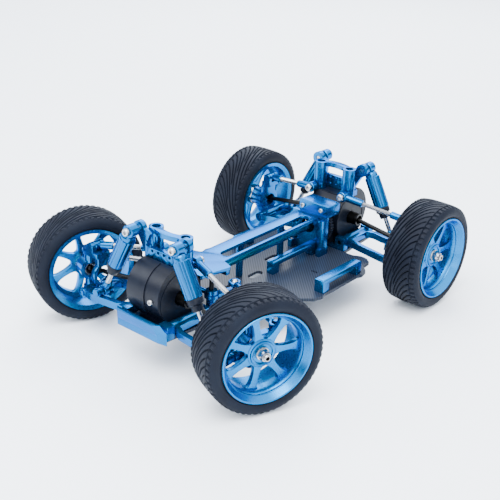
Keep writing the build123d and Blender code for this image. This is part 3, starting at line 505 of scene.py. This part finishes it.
for corner, _, _ in CORNERS:
    shock(corner)


# ---------------------------------------------------------------- turnbuckles
THREAD_PITCH, THREAD_CUT, THREAD_RISE = 0.55, 0.16, 0.06
THREAD_R = 1.4
SLEEVE_SIDES = 48
SLEEVE_START = 2.4
EYE_EDGE = 0.35


def threaded_bar(low, high):
    """Threaded bar between two heights along a link."""
    middle = []
    height = low
    while height < high:
        middle += [((THREAD_R - THREAD_CUT) * MM, height),
                   ((THREAD_R + THREAD_RISE) * MM, height + THREAD_PITCH * MM / 2)]
        height += THREAD_PITCH * MM
    return lathe([(ON_AXIS, middle[0][1])] + middle + [(ON_AXIS, middle[-1][1])], 40)


def turnbuckle(body, start, stop, eyes, sleeves):
    """Link with a threaded bar between two blue rod ends.

    eyes are (axis, hole, ring, half) at start and stop. sleeves are their radius, where the first one
    ends, and where the last one starts and ends, measured back from stop. All are in millimetres."""
    name = body + "_bar"
    place = basis(start, (stop - start).normalized())
    length = (stop - start).length
    sleeve_r, first, last, gap = (value * MM for value in sleeves)
    bar = threaded_bar(first - 1.0 * MM, length - last + 1.0 * MM)
    silver = piece(f"{name}_thread", bar, place, SILVER, body, 50)
    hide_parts(body)
    neck = length - (eyes[1][1] + 0.3) * MM
    for number, (low, high) in enumerate(((SLEEVE_START * MM, first), (length - last, length - gap))):
        profile = [(ON_AXIS, low), (sleeve_r * 0.9, low), (sleeve_r, low + 0.4 * MM),
                   (sleeve_r, high - 0.5 * MM), (sleeve_r * 0.86, high)]
        if number:
            profile += [(THREAD_R * MM, high), (THREAD_R * MM, max(neck, high + 0.01 * MM))]
        profile.append((ON_AXIS, profile[-1][1]))
        piece(f"{name}_sleeve_{number}", lathe(profile, SLEEVE_SIDES), place, BLUE, body, 30)
    for number, (centre, (direction, hole, ring, half)) in enumerate(zip((start, stop), eyes)):
        profile = [(hole, -half), (ring - EYE_EDGE, -half), (ring, -half + EYE_EDGE), (ring, half - EYE_EDGE),
                   (ring - EYE_EDGE, half), (hole, half)]
        piece(f"{name}_eye_{number}", turned(profile, 56), basis(centre, direction), BLUE, body,
              30)


ALONG_CAR, UPRIGHT = (1, 0, 0), (0, 0, 1)
LINK_EYES = ((ALONG_CAR, 1.56, 3.4, 2.3), (ALONG_CAR, 1.75, 2.6, 2.0))
LINK_SLEEVES = (2.4, 14, 13, 4.3)
ROD_EYES = ((UPRIGHT, 2.38, 3.6, 1.3), (UPRIGHT, 2.2, 3.6, 1.3))
ROD_SLEEVES = (2.0, 12, 10, 2.6)

for corner, end, side in CORNERS:
    body = f"{corner}_upper_link"
    start = Vector(JOINTS[f"{corner}_upper_link_swing"]["pos_m"])
    low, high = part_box(body)
    ring, half = LINK_EYES[1][2] * MM, LINK_EYES[1][3] * MM
    outer_y = high.y - ring if side > 0 else low.y + ring
    outer_x = high.x - half if end > 0 else low.x + half
    turnbuckle(body, start, Vector((outer_x, outer_y, low.z + ring)), LINK_EYES, LINK_SLEEVES)

for side_name, _ in SIDES:
    start = Vector(JOINTS[f"tie_rod_{side_name}_swing"]["pos_m"])
    kingpin = Vector(JOINTS[f"front_{side_name}_steer"]["pos_m"])
    pivot = Vector(JOINTS[f"bellcrank_{side_name}_turn"]["pos_m"])
    stop = start + Vector((kingpin.x - pivot.x, kingpin.y - pivot.y, 0))
    turnbuckle(f"tie_rod_{side_name}", start, stop, ROD_EYES, ROD_SLEEVES)


# ---------------------------------------------------------------- pins, screws and posts on the chassis
def bar(start, stop, radius):
    """Round bar with chamfered ends, between two points in millimetres."""
    start, stop = Vector(start), Vector(stop)
    length = (stop - start).length
    edge = 0.25
    profile = [(ON_AXIS, 0), (radius - edge, 0), (radius, edge), (radius, length - edge),
               (radius - edge, length), (ON_AXIS, length)]
    return moved(turned(profile, 40), basis(start * MM, stop - start))


def head(at, along, size):
    """Screw head of a (radius, height), standing at a point, all in millimetres."""
    radius, height = size
    screw = socket_screw(radius * MM, height * MM, radius * SOCKET_SHARE * MM)
    return moved(screw, basis(Vector(at) * MM, along))


SOCKET_SHARE = 0.52
LINK_HEAD, SHOCK_HEAD = (2.4, 1.8), (2.35, 1.9)
POST_FOOT_Z, POST_HEAD_Z = 23, 47
ARM_PIN_X, ARM_PIN_R = (65.1, 97.9), 1.48
LINK_SCREW_X, LINK_HEAD_X = (74, 66.4), 66.5
SHOCK_SCREW_X, SHOCK_HEAD_X = (81.3, 92.9), 92.6
SCREW_R = 1.45
BELLCRANK_POST_TOP, BELLCRANK_POST_R = 34, 3.0
DECK_POST_X, DECK_POST_Y, DECK_POST_R = (-30, 10), -6.4, 2.15


def along_x(end, span, at, radius):
    """Bar along the car through a joint's y and z, between two distances from the car's middle."""
    return bar(*((end * x, at.y, at.z) for x in span), radius)


def joint_at(name):
    """Place of a joint, in millimetres."""
    return Vector(JOINTS[name]["pos_m"]) / MM


pins, screws, posts = [], [], []
for corner, end, _ in CORNERS:
    pins.append(along_x(end, ARM_PIN_X, joint_at(f"{corner}_arm_swing"), ARM_PIN_R))
    link = joint_at(f"{corner}_upper_link_swing")
    top = joint_at(f"{corner}_shock_swing")
    screws += [along_x(end, LINK_SCREW_X, link, SCREW_R),
               head((end * LINK_HEAD_X, link.y, link.z), (-end, 0, 0), LINK_HEAD),
               along_x(end, SHOCK_SCREW_X, top, SCREW_R),
               head((end * SHOCK_HEAD_X, top.y, top.z), (end, 0, 0), SHOCK_HEAD)]
for side_name, _ in SIDES:
    x, y, _ = joint_at(f"bellcrank_{side_name}_turn")
    posts.append(bar((x, y, POST_FOOT_Z), (x, y, BELLCRANK_POST_TOP), BELLCRANK_POST_R))
    pins.append(bar((x, y, BELLCRANK_POST_TOP - 0.2), (x, y, POST_HEAD_Z), SCREW_R))
for x in DECK_POST_X:
    posts.append(bar((x, DECK_POST_Y, POST_FOOT_Z), (x, DECK_POST_Y, POST_HEAD_Z), DECK_POST_R))
AT_CAD = Matrix.Identity(4)
pin_piece = piece("hinge_pins", merged(*pins), AT_CAD, DARK_STEEL, "chassis", 30)
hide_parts("fasteners")
piece("chassis_screws", merged(*screws), AT_CAD, SILVER, "chassis", 30)
piece("chassis_posts", merged(*posts), AT_CAD, BLUE, "chassis", 30)


# ---------------------------------------------------------------- trim of the gear cases
AXLE_X, AXLE_Z = JOINTS["front_differential_spin"]["pos_m"][0] / MM, 40.5
CASE_HALF = 12.0
CASE_RING = [(13.2, -0.5), (15.1, -0.5), (15.5, -0.1), (15.5, 0.3), (13.2, 0.3)]
DRUM_X, DRUM_Z = AXLE_X + 1.5, 43.6
DRUM_IN_R, DRUM_OUT_R = 15.6, 16.75
DRUM_DEGREES = range(-62, 79, 2)
DRUM_FROM, DRUM_TO = -1.6, 11.7


def case_trim(end):
    """Raised side rings and the stepped drum of one gear case."""
    made = []
    for side in (1, -1):
        centre = Vector((end * AXLE_X, side * CASE_HALF, AXLE_Z)) * MM
        made.append(moved(turned(CASE_RING, 96), basis(centre, (0, side, 0))))
    turns = [math.radians(angle) for angle in DRUM_DEGREES]
    band = [(DRUM_OUT_R * math.cos(a), DRUM_OUT_R * math.sin(a)) for a in turns]
    band += [(DRUM_IN_R * math.cos(a), DRUM_IN_R * math.sin(a)) for a in reversed(turns)]
    drum = basis(Vector((end * DRUM_X, 0, DRUM_Z)) * MM, (0, -end, 0), (end, 0, 0))
    made.append(moved(prism(band, DRUM_FROM, DRUM_TO), drum))
    return merged(*made)


APRON_REAR, APRON_FRONT = (99.15, 19.6), (102.7, 15.6)
APRON_UNDER, APRON_TOP = (20.5, 22.4), (25.4, 26.6)


def apron():
    """Lower bend of the bumper, in front of the chassis plate's edge."""
    (rear_x, rear_y), (front_x, front_y) = APRON_REAR, APRON_FRONT
    vertices = []
    for rear_z, front_z in (APRON_UNDER, APRON_TOP):
        vertices += [(rear_x, -rear_y, rear_z), (front_x, -front_y, front_z),
                     (front_x, front_y, front_z), (rear_x, rear_y, rear_z)]
    faces = [(0, 1, 2, 3), (7, 6, 5, 4), (0, 4, 5, 1), (1, 5, 6, 2), (2, 6, 7, 3), (3, 7, 4, 0)]
    return [(x * MM, y * MM, z * MM) for x, y, z in vertices], faces


GUARD_FACE_X, GUARD_SCREW_Y, GUARD_SCREW_Z = -51.55, (8.7, -5.8), 52.6
FOOT_SCREW = (-48.2, -11.1, 27.95)
CASE_SCREW = (98.5, 6.6, 42.4)
GUARD_HEAD, FOOT_HEAD, CASE_HEAD = (1.6, 1.2), (1.35, 1.1), (1.7, 1.3)
APRON_EDGE = 0.08
piece("bumper_apron", apron(), AT_CAD, BLUE, "chassis", 30, APRON_EDGE * MM)
for end_name, end in ENDS:
    piece(f"{end_name}_case_trim", case_trim(end), AT_CAD, PLASTIC, "chassis", 30)
    x, y, z = CASE_SCREW
    screw = head((end * x, end * y, z), (end, 0, -0.07), CASE_HEAD)
    piece(f"{end_name}_case_screw", screw, AT_CAD, SILVER, "chassis", 30)
guard = [head((GUARD_FACE_X, y, GUARD_SCREW_Z), (1, 0, 0), GUARD_HEAD) for y in GUARD_SCREW_Y]
guard.append(head(FOOT_SCREW, (0, 0, 1), FOOT_HEAD))
piece("mount_screws", merged(*guard), AT_CAD, SILVER, "chassis", 30)


# ---------------------------------------------------------------- softened edges on machined CAD parts
BODIES = frame["record"]["behaviour"]["bodies"]
BODY_OF = {name: body for body, names in BODIES.items() for name in names}
SOFT_EDGE = 0.28
SHARP_ANGLE, SMOOTH_ANGLE, FLAT_ANGLE = 38, 32, 1.0


def softened(name, material):
    """Copy of a CAD node with its sharp edges broken, as on a machined and tumbled part."""
    mesh = frame["nodes"][name].data.copy()
    mesh.name = name + "_soft"
    work = bmesh.new()
    work.from_mesh(mesh)
    bmesh.ops.remove_doubles(work, verts=work.verts, dist=1e-6)
    bmesh.ops.dissolve_limit(work, angle_limit=math.radians(FLAT_ANGLE), verts=work.verts, edges=work.edges)
    sharp = [e for e in work.edges if is_fold(e, SHARP_ANGLE) and e.is_convex]
    bmesh.ops.bevel(work, geom=sharp, offset=SOFT_EDGE * MM, segments=2, affect="EDGES", profile=0.6,
                    clamp_overlap=True)
    for face in work.faces:
        face.smooth = True
    for e in work.edges:
        e.smooth = len(e.link_faces) == 2 and not is_fold(e, SMOOTH_ANGLE)
    work.to_mesh(mesh)
    work.free()
    mesh.materials.clear()
    mesh.materials.append(material)
    obj = bpy.data.objects.new(name + "_soft", mesh)
    bpy.context.scene.collection.objects.link(obj)
    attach(obj, BODY_OF[name])
    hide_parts(name)


SOFT_NODES = ["upper_deck", "motor_mount", "battery_rails", "bumper", "arm_mounts", "front_shock_tower",
              "rear_shock_tower"]
for corner, end, _ in CORNERS:
    SOFT_NODES += [f"{corner}_lower_arm", f"{corner}_c_hub" if end > 0 else f"{corner}_upright"]
for name in SOFT_NODES:
    softened(name, BLUE)


# ---------------------------------------------------------------- materials of the carried-over nodes
def material_of(name):
    """Material of a CAD node, by its name."""
    if name == "chassis_plate":
        return CARBON
    if name in ("gear_cases", "gear_covers", "spur_gear"):
        return PLASTIC
    if name == "fasteners" or name.endswith("stub_axle") or name.startswith("tie_rod_ball"):
        return SILVER
    if "drive_shaft" in name or "differential" in name:
        return DARK_STEEL
    if name == "prop_shaft":
        return TEAL
    return BLUE


for name, node in frame["nodes"].items():
    node.data.materials.clear()
    node.data.materials.append(material_of(name))


# ---------------------------------------------------------------- floor, light and camera
FLOOR_HALF = 6.0


def floor():
    """Plain white studio floor."""
    material = new_material("studio_floor", (0.88, 0.92, 0.97), 0.0, 0.6)[0]
    mesh = bpy.data.meshes.new("studio_floor")
    corners = [(x * FLOOR_HALF, y * FLOOR_HALF, 0) for x, y in ((-1, -1), (1, -1), (1, 1), (-1, 1))]
    mesh.from_pydata(corners, [], [(0, 1, 2, 3)])
    mesh.materials.append(material)
    obj = bpy.data.objects.new("studio_floor", mesh)
    bpy.context.scene.collection.objects.link(obj)


LIGHT_AIM = Vector((0, 0, 0.03))
COOL = (0.93, 0.96, 1.0)


def area_light(name, at, size, power, colour):
    """Square light, pointed at the car."""
    data = bpy.data.lights.new(name, "AREA")
    data.size = size
    data.energy = power
    data.color = colour
    obj = bpy.data.objects.new(name, data)
    obj.location = at
    obj.rotation_euler = (LIGHT_AIM - Vector(at)).to_track_quat("-Z", "Y").to_euler()
    bpy.context.scene.collection.objects.link(obj)


# a dim band above the horizon and a bright ceiling, so that upright metal faces keep their depth
SKY = [(0.0, (0.54, 0.57, 0.62)), (0.08, (0.50, 0.53, 0.58)), (0.14, (0.04, 0.05, 0.08)),
       (0.34, (0.06, 0.08, 0.12)), (0.48, (0.86, 0.92, 1.0)), (1.0, COOL)]
SKY_STRENGTH = 4.4


def studio_sky():
    """World whose brightness depends on the height of the direction."""
    world = bpy.data.worlds.new("studio")
    world.use_nodes = True
    tree = world.node_tree
    background = tree.nodes["Background"]
    direction = tree.nodes.new("ShaderNodeTexCoord").outputs["Generated"]
    parts = tree.nodes.new("ShaderNodeSeparateXYZ")
    tree.links.new(direction, parts.inputs["Vector"])
    tree.links.new(ramp(tree, parts.outputs["Z"], SKY), background.inputs["Color"])
    background.inputs["Strength"].default_value = SKY_STRENGTH
    bpy.context.scene.world = world


AZIMUTH, ELEVATION, ROLL = (math.radians(angle) for angle in (129.53, 24.76, 2.17))
CAMERA_AT = Vector((426.44, 345.27, 291.89)) * MM
FOCAL_LENGTH, SENSOR_WIDTH = 70.68, 36


def camera():
    """Camera at the car's front left corner, looking down at it."""
    back = Vector((math.sin(AZIMUTH) * math.cos(ELEVATION), -math.cos(AZIMUTH) * math.cos(ELEVATION),
                   math.sin(ELEVATION)))
    right = (-back).cross(Vector((0, 0, 1))).normalized()
    up = right.cross(-back)
    rolled_right = right * math.cos(ROLL) + up * math.sin(ROLL)
    rolled_up = up * math.cos(ROLL) - right * math.sin(ROLL)
    data = bpy.data.cameras.new("camera")
    data.lens = FOCAL_LENGTH
    data.sensor_width = SENSOR_WIDTH
    obj = bpy.data.objects.new("camera", data)
    obj.matrix_world = Matrix((rolled_right, rolled_up, back)).transposed().to_4x4()
    obj.matrix_world.translation = CAMERA_AT
    bpy.context.scene.collection.objects.link(obj)
    bpy.context.scene.camera = obj


floor()
area_light("key", (0.35, 0.1, 0.9), 0.6, 15, (1, 1, 1))
area_light("front_fill", (0.9, 0.9, 0.45), 0.6, 6, COOL)
area_light("back_fill", (-0.8, -0.5, 0.7), 0.8, 14, COOL)
area_light("bumper_fill", (0.75, -0.8, 0.8), 0.6, 9, (0.95, 0.97, 1.0))
studio_sky()
camera()
